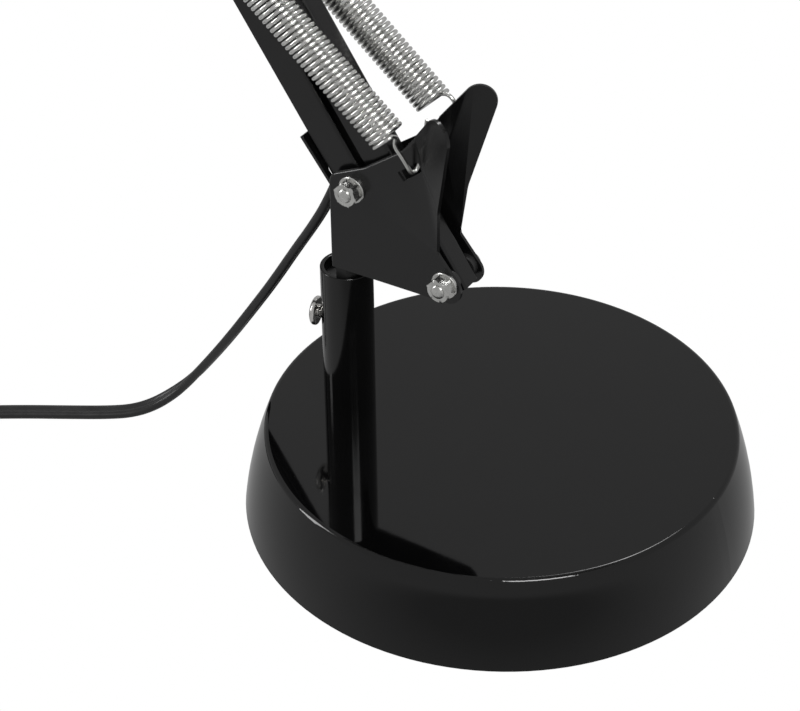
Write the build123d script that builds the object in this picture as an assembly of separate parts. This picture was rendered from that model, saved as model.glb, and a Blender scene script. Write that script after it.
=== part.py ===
from build123d import *
import math
import os

# Architect desk lamp: round weighted base, swivelling post bracket, two spring-balanced
# parallelogram arms and a tilting bell shade. Millimetres, +Z up, origin on the desk under
# the middle of the base. The arms move in a vertical plane; forward in that plane is +X.

# ---------------------------------------------------------------- driving dimensions
# Base
base_d = 190.0              # widest diameter, at the bottom
base_top_d = 172.6          # diameter where the side meets the top
base_h = 35.0               # desk to top face
base_bulge = 1.1            # how far the side stands out from a straight cone
base_rim_r = 1.8            # rounding between side and top
shell_t = 1.2               # pressed steel cover
pad_h = 2.0                 # foam pad under the base
pad_inset = 4.5
pad_stand = 1.0             # how far the pad stands below the cover
plate_t = 1.0               # closing plate above the pad
weight_clear = 0.6
weight_h = 15.0
weight_boss_d = 42.0        # raised under the post, up to the cover

# Post
post_x = -53.1              # swivel axis, from the middle of the base
post_y = -19.3
post_d = 19.0
post_wall = 1.6
post_top = 96.2
post_bolt_d = 10.0
bolt_recess_d = 26.0
bolt_recess_h = 13.0
post_plug_h = 14.0
swivel_clear = 0.1          # radial, spigot in tube

# Set screw
screw_z = 74.0
screw_azimuth = 194.0       # degrees from +X
screw_d = 5.0
screw_head_d = 10.7
screw_head_h = 3.0
screw_gap = 1.6             # post to the underside of the head
groove_depth = 1.6
groove_h = 6.0

# Sheet steel parts
sheet_t = 1.2
plate_gap = 13.6            # between the inner faces of any pair of plates
bracket_bottom = 100.0
web_top = 130.9             # where the tongue bends back
web_x = -1.2                # outer face of the bracket's web, from the swivel axis
tongue_w = 12.0
tongue_len = 20.5
tongue_lean = 37.0
ear_angle = 25.0
slot_len = 10.0
slot_w = 3.6
fold_low = (42.3, 119.4)    # the ear's fold, from the notch up to the top edge
fold_high = (33.8, 161.5)
exit_low = 121.5            # opening for the cord in the web and tongue
exit_high = 139.0
exit_w = 7.2
spigot_top = 92.0
rivet_z = (103.5, 112.0)
rivet_d = 4.0

# Pivots, x forward of the swivel axis and z above the desk
rear_pivot = (8.5, 134.4)
front_pivot = (45.1, 108.2)
bolt_d = 5.0
bolt_clear = 0.08           # radial, bolt in bar
washer_d = 10.0
washer_t = 1.0
nut_across = 8.0
nut_h = 4.0
nut_turn = 12.0             # how far the nuts are turned from square
bolt_tip = 1.0
bolt_head_d = 9.2           # low rounded heads, straight on the far plate
bolt_head_h = 2.0
bolt_head_round = 1.4

# Arms
lower_len = 330.0
upper_len = 330.0
lower_lean = -34.0          # from vertical, forward positive
upper_lean = 70.0
bar_depth = 12.1
bar_w = 8.6
bar_t = 0.9
bar_bend_r = 1.2
bar_end = 5.0               # past each pivot
web_offset = 3.9            # pivot to the outer face of the bar's web
elbow_rise = (6.0, 36.0)    # lower rear pivot to upper rear pivot
upper_pair = (13.0, -22.5)  # upper rear pivot to upper front pivot
boss_r = 7.5                # plate around a pivot

# Springs
spring_d = 13.0
spring_wire = 1.25
spring_y = 14.0             # spring axis, from the arm plane
spring_pin_d = 4.0
spring_pin_len = 34.0
lower_pin_at = 131.0        # along the rear bar from its pivot
upper_pin_at = 125.0
pin_inset = 1.5             # pin axis, from the pivot line towards the open side
hook_reach = 13.0           # coil end to the hole or pin that holds it
spring_tail = 32.0          # the loop's wire reaches this far down inside the coil
loop_r = 4.4
lower_slot_at = (31.6, 148.6)
upper_ear = (-14.0, 22.0)   # hole for the upper springs, from the upper rear pivot

# Head
head_pair = (34.0, -16.0)   # upper rear pivot to tilt pivot, at the head end
shade_lean = -20.0          # shade axis from straight down
lug_w = 12.0
lug_t = 6.0
lug_drop = 24.0
cap_d = 50.0
cap_h = 46.0
cap_t = 1.0
shade_d = 160.0
shade_h = 108.0
shade_t = 1.0
shade_lap = 8.0
rim_r = 1.6
holder_d = 38.0
holder_h = 50.0
thread_d = 26.4
bulb_d = 60.0
bulb_len = 106.0
knob_d = 13.0
knob_len = 14.0
cord_in = 16.5              # cord gland on the cap, from the shade's axis
gland_d = 7.4
gland_h = 7.0

# Cord
cord_d = 5.8                # width of the flat twin lead
cord_flat = 2.9             # its thickness
coil_d = 66.0               # across the middle of its turns
coil_x = -203.0             # its middle, from the swivel axis
coil_y = -39.0
coil_ring_w = 18.4          # the wound ring, three turns wide
coil_ring_h = 9.4           # and three high
tie_w = 6.0
tie_t = 0.8
tie_turn = 200.0            # where the tie sits round the coil
plug_x = -242.0             # where the lead enters the plug, from the swivel axis
plug_y = -12.0
plug_w = 24.0
plug_h = 14.0
plug_len = 26.0
plug_tail = 16.0            # strain relief behind the plug's body
blade_w = 6.3
blade_t = 1.5
blade_gap = 12.7
blade_len = 16.0
cord_exit = (-3.2, 129.0)   # where the lead comes out of the bracket
cord_break = 0.6            # between the free cord and the lead in the bracket
lead_in_bar = -6.0          # lead's line in a bar, from the pivot line
lead_gap = 14.0             # pivot to where the lead lies in the channel

# ---------------------------------------------------------------- worked-out sizes
half_gap = plate_gap / 2
plate_out = half_gap + sheet_t
tube_r = post_d / 2 - post_wall
shell_bottom = pad_stand
top_under = base_h - shell_t


def turn(angle, x, z):
    """A vector in the arm plane, turned from upright towards +X by angle degrees."""
    a = math.radians(angle)
    return (x * math.cos(a) + z * math.sin(a), -x * math.sin(a) + z * math.cos(a))


def add(*points):
    """Sum of points in the arm plane."""
    return (sum(p[0] for p in points), sum(p[1] for p in points))


pair = (front_pivot[0] - rear_pivot[0], front_pivot[1] - rear_pivot[1])
elbow_a = add(rear_pivot, turn(lower_lean, 0, lower_len))
elbow_b = add(elbow_a, pair)
elbow_c = add(elbow_a, elbow_rise)
elbow_d = add(elbow_c, upper_pair)
head_a = add(elbow_c, turn(upper_lean, 0, upper_len))
head_b = add(head_a, upper_pair)
tilt_pivot = add(head_a, head_pair)
lower_pin = add(rear_pivot, turn(lower_lean, -pin_inset, lower_pin_at))
upper_pin = add(elbow_c, turn(upper_lean, -pin_inset, upper_pin_at))
upper_hole = add(elbow_c, upper_ear)

low = (Align.CENTER, Align.CENTER, Align.MIN)       # standing on z = 0
top = (Align.CENTER, Align.CENTER, Align.MAX)       # hanging from z = 0
from_left = (Align.MIN, Align.CENTER, Align.CENTER)
from_right = (Align.MAX, Align.CENTER, Align.CENTER)
arm_plane = Plane(origin=(post_x, post_y, 0), x_dir=(1, 0, 0), z_dir=(0, -1, 0))


def slab(sketch, y_high, y_low):
    """The arm-plane sketch, as a plate from y_high to y_low beside the arm plane."""
    return extrude(arm_plane.offset(-y_high) * sketch, amount=y_high - y_low)


def disc(point, radius):
    """A circle in the arm plane."""
    return Pos(point[0], point[1]) * Circle(radius)


def pin(point, radius, y_high, y_low):
    """A round pin across the arm plane."""
    return slab(disc(point, radius), y_high, y_low)


def bar_place(pivot, lean):
    """Where a bar's own frame stands: its pivot at zero, +Z along it."""
    return Pos(post_x + pivot[0], post_y, pivot[1]) * Rot(0, lean, 0)


def save(name, *solids):
    """Write one node, from one solid or a group of separate ones."""
    shape = solids[0] if len(solids) == 1 else Compound(children=list(solids))
    export_step(shape, "parts/" + name + ".step")


# ---------------------------------------------------------------- base
def side_profile(inset, z_low, z_high):
    """Half section that fills the base between two heights, inset from its outside."""
    slope = (base_top_d - base_d) / 2 / (base_h - shell_bottom)
    foot = (base_d / 2 + slope * (z_low - shell_bottom) - inset, z_low)
    brow = (base_d / 2 + slope * (z_high - shell_bottom) - inset, z_high)
    bulge = base_bulge * ((z_high - z_low) / (base_h - shell_bottom)) ** 2
    middle = ((foot[0] + brow[0]) / 2 + bulge, (z_low + z_high) / 2)
    side = ThreePointArc(foot, middle, brow)
    rest = Polyline(brow, (0, z_high), (0, z_low), foot)
    return Plane.XZ * make_face([side, rest])


def base_parts():
    """Cover, weight, closing plate, pad and the post's fixing."""
    outside = revolve(side_profile(0, shell_bottom, base_h), Axis.Z)
    outside = fillet(outside.edges().group_by(Axis.Z)[-1], base_rim_r)
    inside = revolve(side_profile(shell_t, shell_bottom - 1, top_under), Axis.Z)
    inside = fillet(inside.edges().group_by(Axis.Z)[-1], base_rim_r)
    at_post = Pos(post_x, post_y, 0)
    bolt_hole = at_post * Cylinder(post_bolt_d / 2 + 0.3, 4 * base_h)
    shell = outside - inside - bolt_hole
    weight_z = pad_h + plate_t
    weight = revolve(side_profile(shell_t + weight_clear, weight_z, weight_z + weight_h), Axis.Z)
    boss_h = top_under - weight_z
    weight += at_post * Pos(0, 0, weight_z) * Cylinder(weight_boss_d / 2, boss_h, align=low)
    weight &= inside
    weight -= at_post * Pos(0, 0, weight_z) * Cylinder(bolt_recess_d / 2, bolt_recess_h, align=low)
    weight -= bolt_hole
    plate = revolve(side_profile(shell_t + weight_clear, pad_h, weight_z), Axis.Z)
    pad = Cylinder(base_d / 2 - pad_inset, pad_h, align=low)
    screws = []
    for spot in PolarLocations(base_d * 0.36, 3, start_angle=30):
        hole = spot * Pos(0, 0, pad_h)
        plate -= hole * Cylinder(1.7, plate_t, align=low)
        weight -= hole * Cylinder(1.3, 9, align=low)
        pad -= spot * Cylinder(3.8, pad_h, align=low)
        screws.append(hole * (Cylinder(1.28, 8, align=low) + Cylinder(3.2, 1.4, align=top)))
    save("base_shell", shell)
    save("base_weight", weight)
    save("base_plate", plate)
    save("base_pad", pad)
    save("plate_screws", *screws)

    tube = Cylinder(post_d / 2, post_top - base_h, align=low) - Cylinder(tube_r, base_h * 4)
    tube = fillet(tube.edges().group_by(Axis.Z)[-1], 0.4)
    tube = Pos(post_x, post_y, base_h) * tube
    aim = Pos(post_x, post_y, screw_z) * Rot(0, 0, screw_azimuth) * Rot(0, 90, 0)
    tube -= aim * Cylinder(screw_d / 2, post_d, align=low)
    plug = Cylinder(tube_r - 0.01, post_plug_h, align=low)
    plug -= Cylinder(post_bolt_d / 2 + 0.02, 3 * post_plug_h)
    plug = Pos(post_x, post_y, base_h) * plug
    bolt_z = weight_z + bolt_recess_h - 2.0
    head = extrude(RegularPolygon(8.5, 6), -6.4)
    bolt = head + Cylinder(post_bolt_d / 2, base_h + post_plug_h - bolt_z - 2, align=low)
    washer = Cylinder(12, 2, align=low) - Cylinder(post_bolt_d / 2 + 0.3, 8)
    save("post_tube", tube)
    save("post_plug", plug)
    save("post_bolt", Pos(post_x, post_y, bolt_z) * bolt)
    save("post_washer", Pos(post_x, post_y, bolt_z) * washer)

    tip = post_d / 2 - (post_wall + swivel_clear + groove_depth - 0.4)
    under = post_d / 2 + screw_gap
    shank = Pos(0, 0, tip) * Cylinder(screw_d / 2 - 0.02, under - tip + 0.5, align=low)
    dome_r = (screw_head_d ** 2 / 4 + screw_head_h ** 2) / (2 * screw_head_h)
    dome = Pos(0, 0, under + screw_head_h - dome_r) * Sphere(dome_r)
    dome &= Pos(0, 0, under) * Cylinder(screw_head_d, screw_head_d, align=low)
    slot = Pos(0, 0, under + screw_head_h) * Box(1.2, 2 * screw_head_d, 1.6)
    save("set_screw", aim * (shank + (dome - slot)))


# ---------------------------------------------------------------- swivelling bracket
def bracket_outline():
    """Side plate of the bracket, laid flat."""
    corners = [
        (web_x, bracket_bottom),
        (web_x, 137.5),
        (13.0, 144.3),
        (27.6, 155.0),
        (60.0, 194.0),
        (44.3, 138.0),
        fold_low,
        (57.4, bracket_bottom + 1.2),
    ]
    radii = {1: 5.0, 2: 12.0, 3: 12.0, 4: 5.8, 5: 20.0, 6: 0.8, 7: 5.6}
    face = make_face(Polyline(*corners, close=True))
    for i, radius in radii.items():
        corner = face.vertices().sort_by_distance((corners[i][0], corners[i][1], 0))[0]
        face = fillet(corner, radius)
    return face


def ear_side():
    """The part of the plane beyond the fold, where the plate leans outwards."""
    run = Vector(fold_high[0] - fold_low[0], fold_high[1] - fold_low[1]).normalized()
    across = Vector(run.Y, -run.X)
    start = Vector(*fold_low)
    end = start + run * 120
    return make_face(Polyline(start, end, end + across * 80, start + across * 80, close=True))


def slot_sketch():
    """The hole that a spring hook goes through."""
    return Pos(*lower_slot_at) * Rot(0, 0, 39.3) * Rectangle(slot_len, slot_w)


def bracket_plate(side):
    """One side plate with its ear; side is -1 at the front and +1 at the rear."""
    outline = bracket_outline()
    outline -= [disc(rear_pivot, bolt_d / 2 + bolt_clear), disc(front_pivot, bolt_d / 2 + bolt_clear)]
    outline -= slot_sketch()
    y_high = plate_out if side > 0 else -half_gap
    y_low = y_high - sheet_t
    flat = slab(outline - ear_side(), y_high, y_low)
    ear = slab(outline & ear_side(), y_high, y_low)
    run = Vector(fold_high[0] - fold_low[0], 0, fold_high[1] - fold_low[1])
    hinge = Axis((post_x + fold_low[0], post_y + side * half_gap, fold_low[1]), run)
    ear = ear.rotate(hinge, side * ear_angle)
    return flat + ear


def bracket_parts():
    """Folded bracket, its spigot in the post, and its pivots."""
    web = slab(
        Pos(web_x + sheet_t / 2, (bracket_bottom + web_top) / 2)
        * Rectangle(sheet_t, web_top - bracket_bottom),
        plate_out,
        -plate_out,
    )
    slope = math.radians(tongue_lean)
    lean = turn(-tongue_lean, 0, tongue_len)
    face = turn(-tongue_lean, sheet_t, 0)
    bend = (web_x, web_top)
    web_in = web_x + sheet_t
    inner = (web_in, web_top + (sheet_t - sheet_t * math.cos(slope)) / math.tan(slope))
    tongue = make_face(
        Polyline(
            (web_x, web_top - 3),
            (web_in, web_top - 3),
            inner,
            add(bend, lean, face),
            add(bend, lean),
            bend,
            close=True,
        )
    )
    body = web + slab(tongue, tongue_w / 2, -tongue_w / 2)
    body += bracket_plate(-1)
    body += bracket_plate(1)
    corner_x = post_x + web_x
    folds = [
        e
        for e in body.edges().filter_by(Axis.Z)
        if abs(e.center().X - corner_x) < 0.01 and abs(abs(e.center().Y - post_y) - plate_out) < 0.01
    ]
    body = fillet(folds, 1.0)
    opening = SlotOverall(exit_high - exit_low, exit_w, rotation=90)
    centre = (post_x, post_y, (exit_low + exit_high) / 2)
    middle = Plane(origin=centre, x_dir=(0, 1, 0), z_dir=(-1, 0, 0))
    body -= extrude(middle.offset(-1.5) * opening, amount=12)
    for z in rivet_z:
        body -= Pos(post_x, post_y, z) * Rot(0, 90, 0) * Cylinder(rivet_d / 2, 8)
    save("arm_bracket", body)

    start = base_h + post_plug_h + 1
    rod = Pos(0, 0, start) * Cylinder(tube_r - swivel_clear, spigot_top - start, align=low)
    groove = Pos(0, 0, screw_z) * (
        Cylinder(20, groove_h) - Cylinder(tube_r - swivel_clear - groove_depth, groove_h)
    )
    rod -= groove
    lug_high = rivet_z[-1] + 5
    lug = Cylinder(tube_r - swivel_clear, lug_high - spigot_top + 2, align=low)
    lug &= Box(40, plate_gap - 0.2, 80)
    lug &= Pos(web_x + sheet_t + 0.02, 0, 0) * Box(20, 40, 80, align=from_left)
    rod += Pos(0, 0, spigot_top - 2) * lug
    rod = Pos(post_x, post_y, 0) * rod
    rivets = []
    for z in rivet_z:
        spot = Pos(post_x, post_y, z) * Rot(0, 90, 0)
        rod -= spot * Cylinder(rivet_d / 2, 40)
        shank = spot * Pos(0, 0, web_x) * Cylinder(rivet_d / 2 - 0.02, tube_r - 1 - web_x, align=low)
        cut = Pos(post_x + web_x, post_y, z) * Box(20, 40, 20, align=from_right)
        head = (Pos(post_x + web_x + 1.6, post_y, z) * Sphere(3.8)) & cut
        rivets.append(shank + head)
    save("bracket_spigot", rod)
    save("bracket_rivets", *rivets)
    pivot_set("bracket", [rear_pivot, front_pivot])


def pivot_set(name, points):
    """Bolts, nuts, washers and spacers for the pivots of one pair of plates."""
    bolts = []
    nuts = []
    washers = []
    spacers = []
    face = plate_out + washer_t
    bore = bolt_d / 2 + 0.03
    for point in points:
        shank = pin(point, bolt_d / 2, plate_out, -face - nut_h - bolt_tip)
        ends = shank.edges().group_by(Axis.Y)[0]
        shank = chamfer(ends, 0.5)
        flats = RegularPolygon(nut_across / 2, 6, major_radius=False)
        head = slab(disc(point, bolt_head_d / 2), plate_out + bolt_head_h, plate_out)
        head = fillet(head.edges().group_by(Axis.Y)[-1], bolt_head_round)
        bolts.append(shank + head)
        hexagon = Pos(*point) * Rot(0, 0, nut_turn) * flats
        nuts.append(slab(hexagon - disc(point, bore), -face, -face - nut_h))
        ring = disc(point, washer_d / 2) - disc(point, bore)
        washers.append(slab(ring, -plate_out, -face))
        inner = disc(point, 4.2) - disc(point, bore)
        spacers.append(slab(inner, half_gap - 0.02, bar_w / 2 + 0.05))
        spacers.append(slab(inner, -bar_w / 2 - 0.05, -half_gap + 0.02))
    save(name + "_bolts", *bolts)
    save(name + "_nuts", *nuts)
    save(name + "_washers", *washers)
    save(name + "_spacers", *spacers)


# ---------------------------------------------------------------- bars
def channel_bar(length, pin_at=None):
    """A folded channel with a pivot hole near each end; its web is on the +X side."""
    corner = (Align.MAX, Align.CENTER, Align.MIN)
    whole = Pos(web_offset, 0, -bar_end) * Box(bar_depth, bar_w, length + 2 * bar_end, align=corner)
    folds = whole.edges().filter_by(Axis.Z).group_by(Axis.X)[-1]
    whole = fillet(folds, bar_bend_r)
    hollow = Pos(web_offset - bar_t, 0, -bar_end - 1) * Box(
        bar_depth, bar_w - 2 * bar_t, length + 2 * bar_end + 2, align=corner
    )
    bar = whole - hollow
    open_x = web_offset - bar_depth
    ends = [e for e in bar.edges().filter_by(Axis.Y) if abs(e.center().X - open_x) < 0.01]
    bar = fillet(ends, 2.5)
    for z in (0, length):
        bar -= Pos(0, 0, z) * Rot(90, 0, 0) * Cylinder(bolt_d / 2 + bolt_clear, 2 * bar_w)
    if pin_at is not None:
        bar -= Pos(-pin_inset, 0, pin_at) * Rot(90, 0, 0) * Cylinder(spring_pin_d / 2, 2 * bar_w)
    return bar


def spring_pin(point):
    """Pin across a bar, with a neck near each end for the spring's loop."""
    body = pin(point, spring_pin_d / 2 - 0.01, spring_pin_len / 2, -spring_pin_len / 2)
    for side in (-1, 1):
        middle = side * spring_y
        neck = disc(point, spring_pin_d) - disc(point, spring_pin_d / 2 - 0.6)
        body -= slab(neck, middle + spring_wire, middle - spring_wire)
    return body


def bar_parts():
    """Four bars and the two spring pins."""
    save("lower_rear_bar", bar_place(rear_pivot, lower_lean) * channel_bar(lower_len, lower_pin_at))
    save("lower_front_bar", bar_place(front_pivot, lower_lean) * channel_bar(lower_len))
    save("upper_top_bar", bar_place(elbow_c, upper_lean) * channel_bar(upper_len, upper_pin_at))
    save("upper_under_bar", bar_place(elbow_d, upper_lean) * channel_bar(upper_len))
    save("lower_spring_pin", spring_pin(lower_pin))
    save("upper_spring_pin", spring_pin(upper_pin))


# ---------------------------------------------------------------- springs
def rod_between(a, b, y_a, y_b, diameter):
    """A straight round rod between two points beside the arm plane."""
    start = Vector(post_x + a[0], post_y + y_a, a[1])
    end = Vector(post_x + b[0], post_y + y_b, b[1])
    run = end - start
    flat = Plane(origin=start, z_dir=run)
    return extrude(flat * Circle(diameter / 2), amount=run.length)


def spring_set(name, hole, far_pin):
    """A pair of tension springs from the hooks in the plates' holes to the loops on the pin."""
    run = Vector(far_pin[0] - hole[0], far_pin[1] - hole[1])
    way = run.normalized()
    start = add(hole, (way.X * hook_reach, way.Y * hook_reach))
    end = add(far_pin, (-way.X * hook_reach, -way.Y * hook_reach))
    cap = add(start, (way.X * spring_wire, way.Y * spring_wire))
    tail = add(end, (-way.X * spring_tail, -way.Y * spring_tail))
    stop = add(far_pin, (-way.X * loop_r, -way.Y * loop_r))
    coils = []
    loops = []
    for side in (-1, 1):
        y = side * spring_y
        bend = side * (plate_out + 2)
        coil = rod_between(start, end, y, y, spring_d)
        coil -= rod_between(cap, end, y, y, spring_d - 2 * spring_wire)
        coil += rod_between(cap, hole, y, bend, spring_wire)
        coil += rod_between(hole, hole, bend, side * (half_gap - 2), spring_wire)
        coil += Pos(post_x + hole[0], post_y + bend, hole[1]) * Sphere(spring_wire / 2)
        coils.append(coil)
        loop = rod_between(tail, stop, y, y, spring_wire)
        middle = Pos(post_x + far_pin[0], post_y + y, far_pin[1]) * Rot(90, 0, 0)
        loop += middle * Torus(loop_r, spring_wire / 2)
        loops.append(loop)
    save(name + "_springs", *coils)
    save(name + "_spring_loops", *loops)


# ---------------------------------------------------------------- elbow and head plates
def plate_hull(circles, holes):
    """A rounded plate around circles, with its pivot holes."""
    edges = []
    for point, radius in circles:
        edges += disc(point, radius).edges()
    face = make_hull(edges)
    for point, radius in holes:
        face -= disc(point, radius)
    return face


def plate_pair(name, circles, holes):
    """Front and rear plates of the same outline."""
    face = plate_hull(circles, holes)
    save(name + "_front_plate", slab(face, -half_gap, -plate_out))
    save(name + "_rear_plate", slab(face, plate_out, half_gap))


def elbow_parts():
    """Elbow plates with their four pivots and the upper springs' holes."""
    pivots = [elbow_a, elbow_b, elbow_c, elbow_d]
    hole_r = bolt_d / 2 + bolt_clear
    circles = [(p, boss_r) for p in pivots] + [(upper_hole, 6.0)]
    holes = [(p, hole_r) for p in pivots] + [(upper_hole, 2.0)]
    plate_pair("elbow", circles, holes)
    pivot_set("elbow", pivots)


def head_parts():
    """Head plates, and the tilt pivot that carries the shade."""
    pivots = [head_a, head_b, tilt_pivot]
    hole_r = bolt_d / 2 + bolt_clear
    plate_pair("head", [(p, boss_r) for p in pivots], [(p, hole_r) for p in pivots])
    pivot_set("head", pivots)


# ---------------------------------------------------------------- shade
def shade_place():
    """Frame of the shade: tilt pivot at zero, shade hanging along -Z."""
    return Pos(post_x + tilt_pivot[0], post_y, tilt_pivot[1]) * Rot(0, shade_lean, 0)


def shade_parts():
    """Lug, cap, bell shade, lampholder, bulb and switch."""
    place = shade_place()
    cap_z = -lug_drop
    lug = Pos(0, 0, cap_z + 1.5) * Box(lug_w, lug_t, lug_drop - 1.5, align=low)
    lug += Rot(90, 0, 0) * Cylinder(lug_w / 2, lug_t)
    lug += Pos(0, 0, cap_z) * Box(22, 16, 1.5, align=low)
    lug -= Rot(90, 0, 0) * Cylinder(bolt_d / 2 + bolt_clear, 3 * lug_t)
    save("shade_lug", place * lug)

    cap = Pos(0, 0, cap_z) * Cylinder(cap_d / 2, cap_h, align=top)
    cap = fillet(cap.edges().group_by(Axis.Z)[-1], 5)
    bore = Pos(0, 0, cap_z - cap_t) * Cylinder(cap_d / 2 - cap_t, cap_h, align=top)
    bore = fillet(bore.edges().group_by(Axis.Z)[-1], 4)
    cap -= bore
    vent = extrude(SlotOverall(14, 3, rotation=90), amount=cap_d)
    for angle in range(30, 360, 60):
        cap -= Rot(0, 0, angle) * Pos(0, 0, cap_z - 22) * Rot(90, 0, 0) * vent
    knob_z = cap_z - 30
    cap -= Pos(0, 0, knob_z) * Rot(0, -90, 0) * Cylinder(3.4, cap_d, align=low)
    cap -= Pos(cord_in, 0, cap_z) * Cylinder(gland_d / 2 + 0.05, 2 * cap_t)

    neck_r = cap_d / 2 + 0.05
    neck_z = cap_z - cap_h + shade_lap
    rim_z = neck_z - shade_h
    shell = bell(neck_r + shade_t, neck_z, rim_z) - bell(neck_r, neck_z + 1, rim_z - 1)
    bead = Pos(0, 0, rim_z) * Torus(shade_d / 2 - shade_t / 2, rim_r)
    shell += bead
    screws = []
    for angle in (60, 180, 300):
        spot = Rot(0, 0, angle) * Pos(neck_r + shade_t, 0, neck_z - 4) * Rot(0, 90, 0)
        screws.append(place * spot * (Cylinder(2.6, 1.6, align=low) + Cylinder(1.4, 3.4, align=top)))
    hole_pack = [
        Rot(0, 0, angle) * Pos(neck_r, 0, neck_z - 4) * Rot(0, 90, 0) * Cylinder(1.45, 6)
        for angle in (60, 180, 300)
    ]
    save("shade_shell", place * (shell - hole_pack))
    save("shade_cap", place * (cap - hole_pack))
    save("shade_screws", *screws)

    holder_z = cap_z - cap_t
    holder = Pos(0, 0, holder_z) * Cylinder(holder_d / 2, holder_h, align=top)
    holder -= Pos(0, 0, holder_z - holder_h) * Cylinder(thread_d / 2 + 0.6, 30, align=low)
    holder -= Pos(0, 0, knob_z) * Rot(0, -90, 0) * Cylinder(2.6, holder_d, align=low)
    save("lampholder", place * holder)
    liner_z = holder_z - holder_h
    liner = Pos(0, 0, liner_z) * (
        Cylinder(thread_d / 2 + 0.55, 28, align=low) - Cylinder(thread_d / 2 + 0.15, 28, align=low)
    )
    save("lampholder_thread", place * liner)
    cap_top = liner_z + 26
    screw_base = Pos(0, 0, cap_top) * Cylinder(thread_d / 2, 25, align=top)
    screw_base = chamfer(screw_base.edges().group_by(Axis.Z)[-1], 5)
    save("bulb_base", place * screw_base)
    save("bulb_glass", place * Pos(0, 0, cap_top - 25) * bulb())

    knob_out = cap_d / 2 + 1.5
    aim = Pos(0, 0, knob_z) * Rot(0, -90, 0)
    knob = aim * Pos(0, 0, knob_out) * Cylinder(knob_d / 2, knob_len, align=low)
    knob = fillet(knob.edges().group_by(Axis.X)[0], 1.5)
    shaft_in = thread_d / 2 + 1.5
    knob += aim * Pos(0, 0, shaft_in) * Cylinder(2.5, knob_out - shaft_in + 2, align=low)
    save("switch_knob", place * knob)
    gland = Cylinder(gland_d / 2, cap_t, align=top) + Cylinder(gland_d / 2 + 1.5, gland_h, align=low)
    gland = fillet(gland.edges().group_by(Axis.Z)[-1], 1.2)
    gland -= Cylinder(cord_d / 2 + 0.05, 60)
    save("cap_gland", place * Pos(cord_in, 0, cap_z) * gland)


def bell(neck_r, neck_z, rim_z):
    """Solid bell: a straight neck, a quarter-round shoulder and a flared skirt."""
    rim = shade_d / 2 - (cap_d / 2 + 0.05 + shade_t - neck_r)
    drop = neck_z - rim_z
    neck_end = neck_z - 0.12 * drop
    belly = (neck_r + 0.62 * (rim - neck_r), neck_z - 0.44 * drop)
    curve = Spline((neck_r, neck_end), belly, (rim, rim_z), tangents=((0.15, -1), (0.18, -1)))
    rest = Polyline((rim, rim_z), (0, rim_z), (0, neck_z), (neck_r, neck_z), (neck_r, neck_end))
    return revolve(Plane.XZ * make_face([curve, rest]), Axis.Z)


def bulb():
    """Solid pear-shaped bulb that hangs below its screw base."""
    r = bulb_d / 2
    length = bulb_len - 25
    neck = thread_d / 2 - 0.5
    curve = Spline(
        (neck, 0), (neck + 3, -12), (r, -length + r), (0, -length),
        tangents=((0.1, -1), (-1, 0)),
    )
    rest = Polyline((0, -length), (0, 0), (neck, 0))
    return revolve(Plane.XZ * make_face([curve, rest]), Axis.Z)


# ---------------------------------------------------------------- cord
def smooth_path(points):
    """Straight runs joined by the largest tangent arcs that the runs allow."""
    spots = [Vector(*p) for p in points]
    radii = []
    for i in range(1, len(spots) - 1):
        before = spots[i] - spots[i - 1]
        after = spots[i + 1] - spots[i]
        half = math.radians(before.get_angle(after)) / 2
        radii.append(0.45 * min(before.length, after.length) / math.tan(half))
    return FilletPolyline(*spots, radius=radii), radii


def cord_tube(name, points):
    """Write a plain round tube along a route, and print its arcs and its length."""
    path, radii = smooth_path(points)
    start = Plane(origin=path @ 0, z_dir=path % 0)
    tube = sweep(start * Circle(cord_d / 2), path=path)
    expected = math.pi * cord_d ** 2 / 4 * path.length
    print(name, "length", round(path.length, 1), "volume ratio", round(tube.volume / expected, 4))
    print(name, "radii", [round(r, 1) for r in radii])
    save(name, tube)


def in_bar(pivot, lean, along):
    """A point on the lead's line in a bar's channel."""
    return add(pivot, turn(lean, lead_in_bar, along))


def flat_lead(name, points):
    """A length of the flat lead in the arm plane, lying on its edge-to-edge width."""
    spots = [(post_x + x, post_y, z) for x, z in points]
    path = Line(*spots) if len(spots) == 2 else smooth_path(spots)[0]
    start = Plane(origin=path @ 0, x_dir=(0, 1, 0), z_dir=path % 0)
    section = start * RectangleRounded(cord_d - 0.2, cord_flat - 0.1, cord_flat * 0.4)
    save(name, sweep(section, path=path))


def held_cord_parts():
    """The lead from the bracket to the cap, along the rear and top bars."""
    lower_start = in_bar(rear_pivot, lower_lean, lead_gap)
    lower_end = in_bar(rear_pivot, lower_lean, lower_len - lead_gap)
    upper_start = in_bar(elbow_c, upper_lean, lead_gap)
    upper_end = in_bar(elbow_c, upper_lean, upper_len - lead_gap)
    bend = in_bar(rear_pivot, lower_lean, 8.0)
    run = Vector(bend[0] - cord_exit[0], bend[1] - cord_exit[1]).normalized() * cord_break
    flat_lead("lead_at_bracket", [lower_start, bend, add(cord_exit, (run.X, run.Y))])
    flat_lead("lead_in_lower_bar", [lower_start, lower_end])
    past_lower = in_bar(rear_pivot, lower_lean, lower_len + 16)
    before_upper = in_bar(elbow_c, upper_lean, -16)
    flat_lead("lead_at_elbow", [lower_end, past_lower, before_upper, upper_start])
    flat_lead("lead_in_upper_bar", [upper_start, upper_end])
    gland = add(tilt_pivot, turn(shade_lean, cord_in, gland_h - lug_drop))
    crest = [add(head_a, p) for p in ((12.0, 10.8), (34.0, 15.5), (49.5, -2.5))]
    flat_lead("lead_at_head", [upper_end, *crest, gland])


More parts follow.
